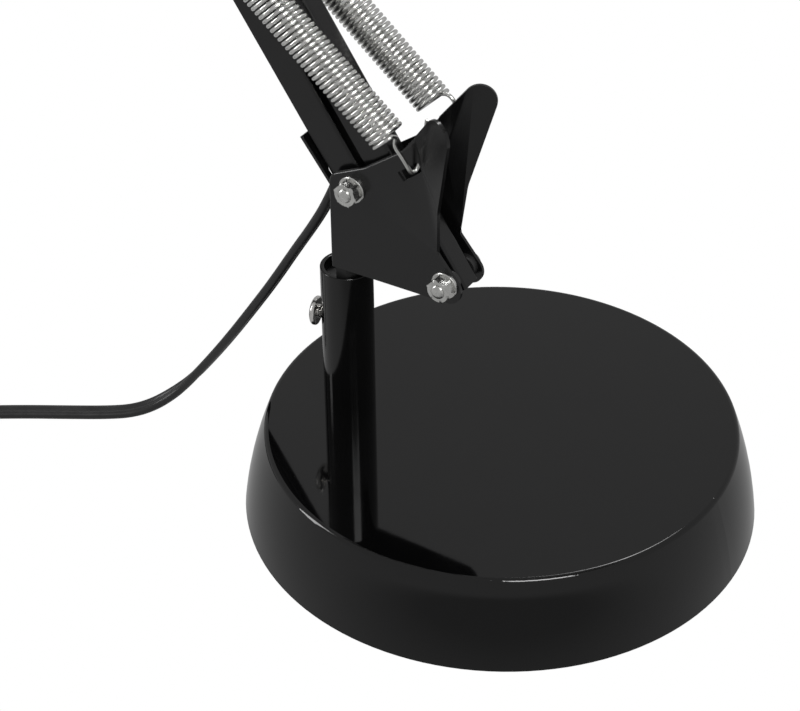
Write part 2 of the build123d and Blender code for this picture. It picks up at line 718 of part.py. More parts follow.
# Route of the free cord, from the bracket's opening to its coil, from the swivel axis
free_route = [
    (-3.2, 0.0, 129.0),
    (-6.6, -0.5, 120.5),
    (-12.5, -1.0, 109.5),
    (-20.5, -1.5, 96.5),
    (-30.5, -2.0, 79.5),
    (-41.5, -2.0, 62.5),
    (-53.5, -2.0, 44.5),
    (-65.0, -2.0, 28.5),
    (-74.0, -2.3, 16.8),
    (-80.8, -4.6, 10.3),
    (-87.3, -9.1, 6.0),
    (-94.0, -14.2, 3.6),
    (-102.0, -19.5, 2.9),
    (-115.0, -27.2, 2.9),
    (-132.0, -37.0, 2.9),
    (-150.0, -48.5, 2.9),
    (-168.0, -61.5, 2.9),
]


def coil_parts():
    """The put-away coil, its tie, and the plug beside it."""
    middle = Pos(post_x + coil_x, post_y + coil_y, 0)
    ring = Cylinder(coil_d / 2 + coil_ring_w / 2, coil_ring_h, align=low)
    ring -= Cylinder(coil_d / 2 - coil_ring_w / 2, 3 * coil_ring_h)
    ring = fillet(ring.edges().filter_by(GeomType.CIRCLE), 2.5)
    save("cord_coil", middle * ring)
    band = RectangleRounded(coil_ring_w + 2 * tie_t + 0.1, coil_ring_h + tie_t + 0.1, 2.6)
    hollow = RectangleRounded(coil_ring_w + 0.1, coil_ring_h + 0.1, 2.5)
    seat = Plane(origin=(coil_d / 2, -tie_w / 2, coil_ring_h / 2), x_dir=(1, 0, 0), z_dir=(0, -1, 0))
    band = extrude(seat * (band - hollow), amount=-tie_w)
    floor = Box(200, 200, 40, align=low)
    save("coil_tie", middle * Rot(0, 0, tie_turn) * (band & floor))
    plug_at = Pos(post_x + plug_x, post_y + plug_y, plug_h / 2) * Rot(-90, 0, 0)
    body = loft([
        Pos(0, 0, plug_tail) * RectangleRounded(12.0, 9.0, 3.0),
        Pos(0, 0, plug_tail + plug_len * 0.4) * RectangleRounded(plug_w, plug_h, 5.0),
    ])
    front = Pos(0, 0, plug_tail + plug_len * 0.4)
    body += front * extrude(RectangleRounded(plug_w, plug_h, 5.0), plug_len * 0.6)
    body += Cone(cord_d / 2 + 0.9, 4.4, plug_tail, align=low)
    face = plug_tail + plug_len
    blades = []
    for side in (-1, 1):
        at = Pos(side * blade_gap / 2, 0, face - 6)
        body -= at * Box(blade_t + 0.1, blade_w + 0.1, 30, align=low)
        blades.append(plug_at * at * Box(blade_t, blade_w, blade_len + 6, align=low))
    save("plug_body", plug_at * body)
    save("plug_blades", *blades)


def cord_parts():
    """The free cord, its put-away coil and its plug."""
    spots = [(post_x + x, post_y + y, z) for x, y, z in free_route]
    cord_tube("cord_run", spots)
    coil_parts()


def main():
    """Build every node."""
    os.makedirs("parts", exist_ok=True)
    base_parts()
    bracket_parts()
    bar_parts()
    spring_set("lower", lower_slot_at, lower_pin)
    spring_set("upper", upper_hole, upper_pin)
    elbow_parts()
    head_parts()
    shade_parts()
    held_cord_parts()
    cord_parts()


main()
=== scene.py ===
"""Finished look of an architect desk lamp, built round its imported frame.

The stage's sizes are metres, and the lamp's own sizes are millimetres that repeat the frame's.
The arms move in a plane parallel to XZ through the post, forward is +X, and the front plates
face -Y.
"""

from __future__ import annotations

import logging
import math
from dataclasses import dataclass, field
from enum import Enum
from typing import Iterable, Sequence

import bmesh
import bpy
import numpy as np
from mathutils import Matrix, Vector

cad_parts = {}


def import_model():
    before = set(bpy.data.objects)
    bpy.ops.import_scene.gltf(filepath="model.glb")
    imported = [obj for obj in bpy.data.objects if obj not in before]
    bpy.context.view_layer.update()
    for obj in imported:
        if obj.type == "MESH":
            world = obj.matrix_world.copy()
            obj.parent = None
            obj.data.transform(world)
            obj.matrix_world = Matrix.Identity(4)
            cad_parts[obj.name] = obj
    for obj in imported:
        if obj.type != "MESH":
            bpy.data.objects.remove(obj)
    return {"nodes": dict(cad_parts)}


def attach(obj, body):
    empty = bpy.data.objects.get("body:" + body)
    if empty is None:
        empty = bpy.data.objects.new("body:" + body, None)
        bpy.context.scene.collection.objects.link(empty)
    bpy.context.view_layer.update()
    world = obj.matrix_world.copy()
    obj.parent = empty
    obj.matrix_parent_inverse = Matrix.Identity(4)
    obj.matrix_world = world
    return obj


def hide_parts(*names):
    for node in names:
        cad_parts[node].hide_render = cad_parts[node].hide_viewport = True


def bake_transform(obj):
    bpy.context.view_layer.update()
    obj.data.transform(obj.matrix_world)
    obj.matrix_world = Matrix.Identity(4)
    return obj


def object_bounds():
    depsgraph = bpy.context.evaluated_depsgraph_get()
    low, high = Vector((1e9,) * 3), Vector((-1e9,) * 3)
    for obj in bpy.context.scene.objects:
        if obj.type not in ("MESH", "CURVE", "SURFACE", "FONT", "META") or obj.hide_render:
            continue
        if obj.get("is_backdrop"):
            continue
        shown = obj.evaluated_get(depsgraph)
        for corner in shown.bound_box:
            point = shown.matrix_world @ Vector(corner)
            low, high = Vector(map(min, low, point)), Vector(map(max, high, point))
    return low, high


LOG = logging.getLogger("desk_lamp")
MM = 0.001
Point = tuple[float, float, float]
Profile = Sequence[tuple[float, float]]


# ---------------------------------------------------------------- finishes
class Texture(Enum):
    """How the fine marks of a finish run, as stretches of its noise along X, Y and Z."""

    CLOUD = (1.0, 1.0, 1.0)
    DRAWN_ALONG_Y = (1.0, 0.06, 1.0)
    ROLLED = (0.15, 1.0, 1.0)


def shader_group(name: str, inputs: dict[str, float | Point], outputs: Iterable[str]) -> bpy.types.NodeTree:
    """Start a shader node group with named sockets.

    Args:
        name: the group's name.
        inputs: socket names with their default values; a triple makes a vector socket.
        outputs: names of the value sockets that the group puts out.

    Returns:
        The new node tree, holding its group input and output nodes.
    """
    tree = bpy.data.node_groups.new(name, "ShaderNodeTree")
    for label, value in inputs.items():
        kind = "NodeSocketVector" if isinstance(value, tuple) else "NodeSocketFloat"
        tree.interface.new_socket(label, in_out="INPUT", socket_type=kind).default_value = value
    for label in outputs:
        tree.interface.new_socket(label, in_out="OUTPUT", socket_type="NodeSocketFloat")
    tree.nodes.new("NodeGroupInput")
    tree.nodes.new("NodeGroupOutput")
    return tree


def surface_detail() -> bpy.types.NodeTree:
    """Group of slow blotches for gloss and tone, and of a fine grain for relief.

    Returns:
        The node tree, made once and then reused.
    """
    name = "surface_detail"
    if name in bpy.data.node_groups:
        return bpy.data.node_groups[name]
    sockets = {"Stretch": (1.0, 1.0, 1.0), "Blotches": 60.0, "Grain": 2500.0,
               "Rough Low": 0.2, "Rough High": 0.3, "Tone Low": 0.9}
    tree = shader_group(name, sockets, ("Roughness", "Tone", "Height"))
    nodes, links = tree.nodes, tree.links
    given = nodes["Group Input"].outputs
    place = nodes.new("ShaderNodeTexCoord")
    stretch = nodes.new("ShaderNodeVectorMath")
    stretch.operation = "MULTIPLY"
    links.new(place.outputs["Object"], stretch.inputs[0])
    links.new(given["Stretch"], stretch.inputs[1])
    waves = {}
    for label, octaves in (("Blotches", 4.0), ("Grain", 2.0)):
        noise = nodes.new("ShaderNodeTexNoise")
        noise.inputs["Detail"].default_value = octaves
        links.new(stretch.outputs[0], noise.inputs["Vector"])
        links.new(given[label], noise.inputs["Scale"])
        waves[label] = noise.outputs["Fac"]
    for label, low, high in (("Roughness", "Rough Low", "Rough High"), ("Tone", "Tone Low", None)):
        spread = nodes.new("ShaderNodeMapRange")
        spread.inputs["From Min"].default_value = 0.3
        spread.inputs["From Max"].default_value = 0.7
        links.new(waves["Blotches"], spread.inputs["Value"])
        links.new(given[low], spread.inputs["To Min"])
        if high:
            links.new(given[high], spread.inputs["To Max"])
        links.new(spread.outputs["Result"], nodes["Group Output"].inputs[label])
    links.new(waves["Grain"], nodes["Group Output"].inputs["Height"])
    return tree


@dataclass(frozen=True)
class Finish:
    """One surface finish, made with the shared detail group.

    Attributes:
        name: material name.
        colour: base colour, linear.
        metal: 1 for bare metal, 0 for paint and plastic.
        rough: lowest and highest roughness.
        tone: darkest multiple of the base colour.
        blotches: blotches to the metre, for gloss and tone.
        grain: grains to the metre, for relief.
        relief: height of the grain, in metres.
        run: direction of the marks.
        extras: other sockets of the shader, by name.
    """

    name: str
    colour: Point
    metal: float = 0.0
    rough: tuple[float, float] = (0.3, 0.4)
    tone: float = 0.85
    blotches: float = 60.0
    grain: float = 2500.0
    relief: float = 0.00001
    run: Texture = Texture.CLOUD
    extras: tuple[tuple[str, float], ...] = ()

    def material(self) -> bpy.types.Material:
        """Material of this finish, made at its first use."""
        if self.name in bpy.data.materials:
            return bpy.data.materials[self.name]
        material = bpy.data.materials.new(self.name)
        material.use_nodes = True
        nodes, links = material.node_tree.nodes, material.node_tree.links
        shader = nodes["Principled BSDF"]
        shader.inputs["Metallic"].default_value = self.metal
        for label, value in self.extras:
            shader.inputs[label].default_value = value
        detail = nodes.new("ShaderNodeGroup")
        detail.node_tree = surface_detail()
        given = {"Stretch": self.run.value, "Blotches": self.blotches, "Grain": self.grain,
                 "Rough Low": self.rough[0], "Rough High": self.rough[1], "Tone Low": self.tone}
        for label, value in given.items():
            detail.inputs[label].default_value = value
        tint = nodes.new("ShaderNodeMix")
        tint.data_type = "RGBA"
        dark = [c * self.tone for c in self.colour]
        tint.inputs["A"].default_value = (*dark, 1.0)
        tint.inputs["B"].default_value = (*self.colour, 1.0)
        share = nodes.new("ShaderNodeMapRange")
        share.inputs["From Min"].default_value = self.tone
        links.new(detail.outputs["Tone"], share.inputs["Value"])
        links.new(share.outputs["Result"], tint.inputs["Factor"])
        links.new(tint.outputs["Result"], shader.inputs["Base Color"])
        links.new(detail.outputs["Roughness"], shader.inputs["Roughness"])
        bump = nodes.new("ShaderNodeBump")
        bump.inputs["Distance"].default_value = self.relief
        bump.inputs["Strength"].default_value = 1.0
        links.new(detail.outputs["Height"], bump.inputs["Height"])
        links.new(bump.outputs["Normal"], shader.inputs["Normal"])
        return material


COVER_ENAMEL = Finish("cover_enamel", (0.0018, 0.0018, 0.0019), rough=(0.035, 0.06), grain=350.0,
                      relief=0.000002, extras=(("IOR", 1.5),))
POST_ENAMEL = Finish("post_enamel", (0.002, 0.002, 0.0021), rough=(0.08, 0.14), grain=900.0,
                     relief=0.000003, extras=(("IOR", 1.5),))
ARM_ENAMEL = Finish("arm_enamel", (0.004, 0.004, 0.0042), rough=(0.16, 0.26), grain=1600.0,
                    relief=0.000006, extras=(("IOR", 1.5),))
SHADE_ENAMEL = Finish("shade_enamel", (0.003, 0.003, 0.0031), rough=(0.06, 0.11), grain=500.0,
                      relief=0.000003, extras=(("IOR", 1.5),))
SHADE_WHITE = Finish("shade_white", (0.82, 0.82, 0.79), rough=(0.3, 0.42), tone=0.96, grain=700.0,
                     relief=0.000004)
ZINC = Finish("zinc_plate", (0.74, 0.74, 0.72), metal=1.0, rough=(0.16, 0.34), tone=0.78, blotches=420.0,
              grain=5200.0, relief=0.000008)
SCREW_STEEL = Finish("screw_steel", (0.78, 0.77, 0.75), metal=1.0, rough=(0.1, 0.22), blotches=300.0,
                     grain=4200.0, relief=0.000004)
SPRING_WIRE = Finish("spring_wire", (0.83, 0.83, 0.81), metal=1.0, rough=(0.14, 0.26), blotches=700.0,
                     grain=6000.0, relief=0.000004)
PIN_STEEL = Finish("pin_steel", (0.66, 0.66, 0.65), metal=1.0, rough=(0.18, 0.32), run=Texture.DRAWN_ALONG_Y,
                   blotches=900.0)
SHEET_STEEL = Finish("sheet_steel", (0.42, 0.42, 0.42), metal=1.0, rough=(0.3, 0.45), run=Texture.ROLLED,
                     blotches=500.0)
CAST_IRON = Finish("cast_iron", (0.055, 0.052, 0.05), metal=0.6, rough=(0.55, 0.75), tone=0.6,
                   blotches=220.0, grain=900.0, relief=0.00025)
FOAM = Finish("foam_rubber", (0.012, 0.012, 0.012), rough=(0.85, 0.95), grain=1500.0, relief=0.0003)
NYLON = Finish("black_nylon", (0.014, 0.014, 0.014), rough=(0.38, 0.5), grain=1800.0, relief=0.00001)
PHENOLIC = Finish("phenolic", (0.011, 0.010, 0.0095), rough=(0.2, 0.34), blotches=140.0, grain=1200.0,
                  relief=0.00001)
BRASS = Finish("brass", (0.72, 0.5, 0.2), metal=1.0, rough=(0.2, 0.34), blotches=300.0)
ALUMINIUM = Finish("aluminium", (0.8, 0.8, 0.79), metal=1.0, rough=(0.24, 0.38), blotches=500.0)
FROSTED = Finish("frosted_bulb", (0.93, 0.93, 0.9), rough=(0.32, 0.4), tone=0.97, relief=0.000005,
                 extras=(("Transmission Weight", 0.35), ("Coat Weight", 0.15)))
VINYL = Finish("lead_vinyl", (0.012, 0.012, 0.0125), rough=(0.3, 0.42), blotches=200.0, grain=2200.0,
               relief=0.000003)


# ---------------------------------------------------------------- meshes
def as_object(name: str, mesh: bpy.types.Mesh) -> bpy.types.Object:
    """New object of a mesh, in the scene."""
    made = bpy.data.objects.new(name, mesh)
    bpy.context.scene.collection.objects.link(made)
    return made


def from_bmesh(name: str, shape: bmesh.types.BMesh) -> bpy.types.Object:
    """New object of a bmesh, which is freed."""
    mesh = bpy.data.meshes.new(name)
    shape.to_mesh(mesh)
    shape.free()
    return as_object(name, mesh)


def smooth(piece: bpy.types.Object, sharp_degrees: float = 35.0) -> None:
    """Shade smooth, except across edges sharper than an angle."""
    piece.data.shade_smooth()
    piece.data.set_sharp_from_angle(angle=math.radians(sharp_degrees))


def grid_faces(rows: int, columns: int, close_rows: bool, close_columns: bool) -> list[tuple[int, ...]]:
    """Quads over rows of points, numbered row by row.

    Args:
        rows: how many rows of points.
        columns: points in each row.
        close_rows: whether the last row joins the first.
        close_columns: whether each row is a ring.

    Returns:
        Corner numbers of each quad.
    """
    faces = []
    for i in range(rows if close_rows else rows - 1):
        for j in range(columns if close_columns else columns - 1):
            k, m = (i + 1) % rows, (j + 1) % columns
            faces.append((i * columns + j, i * columns + m, k * columns + m, k * columns + j))
    return faces


def solid(name: str, points: Sequence[Sequence[float]], faces: Sequence[tuple[int, ...]],
          place: Matrix | None = None) -> bpy.types.Object:
    """Closed mesh with its seams welded and its normals outward.

    Args:
        name: the object's name.
        points: corners, in their own frame.
        faces: corner numbers of each face.
        place: matrix from that frame to the row frame.

    Returns:
        The new object, with its place in its mesh.
    """
    mesh = bpy.data.meshes.new(name)
    mesh.from_pydata(points, [], faces)
    shape = bmesh.new()
    shape.from_mesh(mesh)
    bpy.data.meshes.remove(mesh)
    bmesh.ops.remove_doubles(shape, verts=shape.verts, dist=1e-7)
    bmesh.ops.recalc_face_normals(shape, faces=shape.faces)
    if place:
        shape.transform(place)
    return from_bmesh(name, shape)


def lathe(name: str, profile: Profile, steps: int, place: Matrix) -> bpy.types.Object:
    """Turned solid from a closed half section.

    Args:
        name: the object's name.
        profile: radius and height of each corner; a radius of 0 is on the axis.
        steps: faces round the axis.
        place: matrix from the turned piece's own frame to the row frame.

    Returns:
        The turned object, with its place in its mesh.
    """
    turns = [2 * math.pi * j / steps for j in range(steps)]
    points = [(r * math.cos(a), r * math.sin(a), z) for r, z in profile for a in turns]
    made = solid(name, points, grid_faces(len(profile), steps, True, True), place)
    smooth(made)
    return made


def arc(centre: tuple[float, float], radius: float, start: float, end: float, steps: int) -> list:
    """Points of an arc in the section plane, angles in degrees from +X."""
    spread = np.radians(np.linspace(start, end, steps + 1))
    return [(centre[0] + radius * math.cos(a), centre[1] + radius * math.sin(a)) for a in spread]


def dome_points(radius: float, top: float, height: float, steps: int) -> list[tuple[float, float]]:
    """Half section of a dome, from its edge up to its top on the axis."""
    turns = np.linspace(0, math.pi / 2, steps)
    return [(radius * math.cos(a), top - height + height * math.sin(a)) for a in turns]


def sweep(name: str, line: np.ndarray, across: np.ndarray, section: np.ndarray) -> bpy.types.Object:
    """Solid of one section carried along a line.

    Args:
        name: the object's name.
        line: centre points, N by 3.
        across: direction of the section's width at each point, N by 3.
        section: closed outline, M by 2, as width and thickness.

    Returns:
        The swept object, capped at both ends.
    """
    ahead = np.gradient(line, axis=0)
    ahead /= np.linalg.norm(ahead, axis=1)[:, None]
    wide = across - (across * ahead).sum(1)[:, None] * ahead
    wide /= np.linalg.norm(wide, axis=1)[:, None]
    thick = np.cross(ahead, wide)
    rings = (line[:, None] + section[None, :, :1] * wide[:, None] + section[None, :, 1:] * thick[:, None])
    count, ring = len(line), len(section)
    faces = grid_faces(count, ring, False, True)
    faces += [tuple(range(ring)), tuple(range((count - 1) * ring, count * ring))[::-1]]
    made = solid(name, rings.reshape(-1, 3).tolist(), faces)
    smooth(made, 50.0)
    return made


def softened(node: str, name: str, edge: float, steps: int = 2) -> bpy.types.Object:
    """Copy of a CAD node with its faces merged and its edges rounded.

    Args:
        node: CAD node that the copy stands for.
        name: the new object's name.
        edge: rounding of its edges, in metres.
        steps: faces across each rounding.

    Returns:
        The copy, which replaces the node.
    """
    shape = bmesh.new()
    shape.from_mesh(bpy.data.objects[node].data)
    bmesh.ops.remove_doubles(shape, verts=shape.verts, dist=2e-6)
    bmesh.ops.dissolve_limit(shape, angle_limit=math.radians(0.5), verts=shape.verts, edges=shape.edges)
    made = from_bmesh(name, shape)
    made.data.shade_smooth()
    bevel = made.modifiers.new("edges", "BEVEL")
    bevel.width = edge
    bevel.segments = steps
    bevel.limit_method = "ANGLE"
    bevel.angle_limit = math.radians(40)
    weighted = made.modifiers.new("flat_faces", "WEIGHTED_NORMAL")
    weighted.mode = "FACE_AREA"
    weighted.weight = 100
    weighted.keep_sharp = True
    apply_modifiers(made)
    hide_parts(node)
    return made


def apply_modifiers(piece: bpy.types.Object) -> None:
    """Replace a piece's mesh by what its modifiers make of it, and drop them."""
    view = bpy.context.evaluated_depsgraph_get()
    made = bpy.data.meshes.new_from_object(piece.evaluated_get(view))
    piece.modifiers.clear()
    piece.data = made


# ---------------------------------------------------------------- geometry node trees
def geometry_tree(name: str, inputs: dict[str, str]) -> bpy.types.NodeTree:
    """Start a geometry node tree with a geometry input and output and other named inputs.

    Args:
        name: the tree's name.
        inputs: socket names with their socket types.

    Returns:
        The new tree.
    """
    tree = bpy.data.node_groups.new(name, "GeometryNodeTree")
    tree.interface.new_socket("Geometry", in_out="INPUT", socket_type="NodeSocketGeometry")
    for label, kind in inputs.items():
        tree.interface.new_socket(label, in_out="INPUT", socket_type=kind)
    tree.interface.new_socket("Geometry", in_out="OUTPUT", socket_type="NodeSocketGeometry")
    tree.nodes.new("NodeGroupInput")
    tree.nodes.new("NodeGroupOutput")
    return tree


def finish_tree(tree: bpy.types.NodeTree, geometry: bpy.types.NodeSocket) -> None:
    """End a geometry tree: realize instances, set the material, put it out."""
    nodes, links = tree.nodes, tree.links
    real = nodes.new("GeometryNodeRealizeInstances")
    dress = nodes.new("GeometryNodeSetMaterial")
    links.new(geometry, real.inputs["Geometry"])
    links.new(real.outputs["Geometry"], dress.inputs["Geometry"])
    links.new(nodes["Group Input"].outputs["Material"], dress.inputs["Material"])
    links.new(dress.outputs["Geometry"], nodes["Group Output"].inputs["Geometry"])


def wire_tree() -> bpy.types.NodeTree:
    """Tree that draws round wire along a path of edges."""
    name = "wire_along_path"
    if name in bpy.data.node_groups:
        return bpy.data.node_groups[name]
    tree = geometry_tree(name, {"Wire Radius": "NodeSocketFloat", "Sides": "NodeSocketInt",
                                "Material": "NodeSocketMaterial"})
    nodes, links = tree.nodes, tree.links
    given = nodes["Group Input"].outputs
    path = nodes.new("GeometryNodeMeshToCurve")
    ring = nodes.new("GeometryNodeCurvePrimitiveCircle")
    wire = nodes.new("GeometryNodeCurveToMesh")
    wire.inputs["Fill Caps"].default_value = True
    links.new(given["Geometry"], path.inputs["Mesh"])
    links.new(given["Wire Radius"], ring.inputs["Radius"])
    links.new(given["Sides"], ring.inputs["Resolution"])
    links.new(path.outputs["Curve"], wire.inputs["Curve"])
    links.new(ring.outputs["Curve"], wire.inputs["Profile Curve"])
    finish_tree(tree, wire.outputs["Mesh"])
    return tree


def stations_tree() -> bpy.types.NodeTree:
    """Tree that sets a copy of one part at each point, turned by the point's own angles."""
    name = "part_at_each_point"
    if name in bpy.data.node_groups:
        return bpy.data.node_groups[name]
    tree = geometry_tree(name, {"Part": "NodeSocketObject", "Material": "NodeSocketMaterial"})
    nodes, links = tree.nodes, tree.links
    given = nodes["Group Input"].outputs
    part = nodes.new("GeometryNodeObjectInfo")
    spot = nodes.new("GeometryNodeInstanceOnPoints")
    turn = nodes.new("GeometryNodeInputNamedAttribute")
    turn.data_type = "FLOAT_VECTOR"
    turn.inputs["Name"].default_value = "turn"
    angles = nodes.new("FunctionNodeEulerToRotation")
    links.new(given["Part"], part.inputs["Object"])
    links.new(given["Geometry"], spot.inputs["Points"])
    links.new(part.outputs["Geometry"], spot.inputs["Instance"])
    links.new(turn.outputs["Attribute"], angles.inputs["Euler"])
    links.new(angles.outputs["Rotation"], spot.inputs["Rotation"])
    finish_tree(tree, spot.outputs["Instances"])
    return tree


def grow(name: str, seed: bpy.types.Mesh, tree: bpy.types.NodeTree, inputs: dict) -> bpy.types.Object:
    """Run a geometry tree on a seed mesh and keep the result as a plain mesh.

    Args:
        name: the new object's name.
        seed: mesh that the tree starts from.
        tree: the geometry node tree.
        inputs: values of its named inputs.

    Returns:
        The finished object, with no modifier.
    """
    made = as_object(name, seed)
    modifier = made.modifiers.new(tree.name, "NODES")
    modifier.node_group = tree
    sockets = {s.name: s.identifier for s in tree.interface.items_tree if s.in_out == "INPUT"}
    for label, value in inputs.items():
        modifier[sockets[label]] = value
    apply_modifiers(made)
    return made


def wire(name: str, paths: Sequence[np.ndarray], radius: float, finish: Finish,
         sides: int = 10) -> bpy.types.Object:
    """Round wire along one or more open paths.

    Args:
        name: the new object's name.
        paths: points of each wire, N by 3.
        radius: the wire's radius.
        finish: its finish.
        sides: faces round the wire.

    Returns:
        One object that holds all the wires.
    """
    points, edges = [], []
    for path in paths:
        first = len(points)
        points += [tuple(p) for p in path]
        edges += [(i, i + 1) for i in range(first, len(points) - 1)]
    seed = bpy.data.meshes.new(name)
    seed.from_pydata(points, edges, [])
    inputs = {"Wire Radius": radius, "Sides": sides, "Material": finish.material()}
    made = grow(name, seed, wire_tree(), inputs)
    smooth(made, 60.0)
    return made


def stations(name: str, part: bpy.types.Object, places: Sequence[tuple[Point, Point]],
             finish: Finish) -> bpy.types.Object:
    """Copies of one part at several places.

    Args:
        name: the new object's name.
        part: the part, round its own origin; it is removed.
        places: where each copy goes and its XYZ angles in radians.
        finish: the copies' finish.

    Returns:
        One object that holds all the copies.
    """
    seed = bpy.data.meshes.new(name)
    seed.from_pydata([p for p, _ in places], [], [])
    turn = seed.attributes.new("turn", "FLOAT_VECTOR", "POINT")
    turn.data.foreach_set("vector", np.array([a for _, a in places], np.float32).ravel())
    made = grow(name, seed, stations_tree(), {"Part": part, "Material": finish.material()})
    bpy.data.objects.remove(part)
    smooth(made)
    return made


def dress(piece: bpy.types.Object, finish: Finish) -> None:
    """Give a piece one finish all over."""
    piece.data.materials.clear()
    piece.data.materials.append(finish.material())


def seat(piece: bpy.types.Object, body: str, finish: Finish | None = None,
         nodes: Iterable[str] = ()) -> bpy.types.Object:
    """Dress a piece, let it ride on its body and say what it stands for.

    Args:
        piece: the finished piece.
        body: body that it moves with.
        finish: its finish, unless it is dressed already.
        nodes: CAD nodes that it replaces.

    Returns:
        The piece.
    """
    if finish:
        dress(piece, finish)
    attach(piece, body)
    if nodes:
        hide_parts(*nodes)
    LOG.info("%s rides on %s", piece.name, body)
    return piece


# ---------------------------------------------------------------- lines
def spline(points: Sequence[Sequence[float]], steps: int = 8) -> np.ndarray:
    """Smooth line that follows a chain of points and starts and ends on it.

    Args:
        points: the chain's corners.
        steps: points for each corner.

    Returns:
        Points of a quadratic B-spline, N by 3.
    """
    chain = np.array(points, float)
    middles = (chain[:-1] + chain[1:]) / 2
    middles[0], middles[-1] = chain[0], chain[-1]
    out = [middles[0]]
    for i in range(1, len(chain) - 1):
        for t in np.linspace(0, 1, steps + 1)[1:]:
            out.append((1 - t) ** 2 * middles[i - 1] + 2 * t * (1 - t) * chain[i] + t * t * middles[i])
    return np.array(out)


def ease(t: np.ndarray, start: float, end: float) -> np.ndarray:
    """Smooth step from 0 at start to 1 at end."""
    s = np.clip((t - start) / (end - start), 0, 1)
    return s * s * (3 - 2 * s)


def twin_section(width: float, thick: float, steps: int = 8) -> np.ndarray:
    """Outline of flat twin lead: two round cores side by side with a groove between them.

    Args:
        width: across both cores.
        thick: diameter of a core.
        steps: faces round half a core.

    Returns:
        Closed outline, M by 2.
    """
    off = (width - thick) / 2
    reach = 140.0
    right = arc((off, 0.0), thick / 2, -reach, reach, 2 * steps)
    left = arc((-off, 0.0), thick / 2, 180 - reach, 180 + reach, 2 * steps)
    return np.array(right + left)


@dataclass(frozen=True)
class ArmPlane:
    """Plane in which the arms move; its x runs forward from the swivel axis.

    Attributes:
        x: swivel axis from the middle of the base.
        y: the plane's place across the base.
    """

    x: float = -53.1
    y: float = -19.3

    def at(self, x: float, z: float, y: float = 0.0) -> Point:
        """Row frame point in metres of a place in the plane in millimetres."""
        return ((self.x + x) * MM, (self.y + y) * MM, z * MM)

    def along(self, pivot: tuple[float, float], lean: float, x: float, z: float) -> tuple[float, float]:
        """Place of a point given in the frame of a bar that leans forward by an angle in degrees."""
        c, s = math.cos(math.radians(lean)), math.sin(math.radians(lean))
        return (pivot[0] + c * x + s * z, pivot[1] - s * x + c * z)


PLANE = ArmPlane()
REAR_PIVOT, FRONT_PIVOT = (8.5, 134.4), (45.1, 108.2)
ELBOW_C, HEAD_A, TILT = (-170.03, 443.98), (140.06, 556.85), (174.06, 540.85)
LOWER_LEAN, UPPER_LEAN = -34.0, 70.0


# ---------------------------------------------------------------- stage
def brightness(tree: bpy.types.NodeTree, reflected: float) -> bpy.types.Node:
    """Mix node that is 1 to the camera and another brightness in reflections."""
    rays = tree.nodes.new("ShaderNodeLightPath")
    level = tree.nodes.new("ShaderNodeMix")
    level.inputs["A"].default_value = reflected
    level.inputs["B"].default_value = 1.0
    tree.links.new(rays.outputs["Is Camera Ray"], level.inputs["Factor"])
    return level


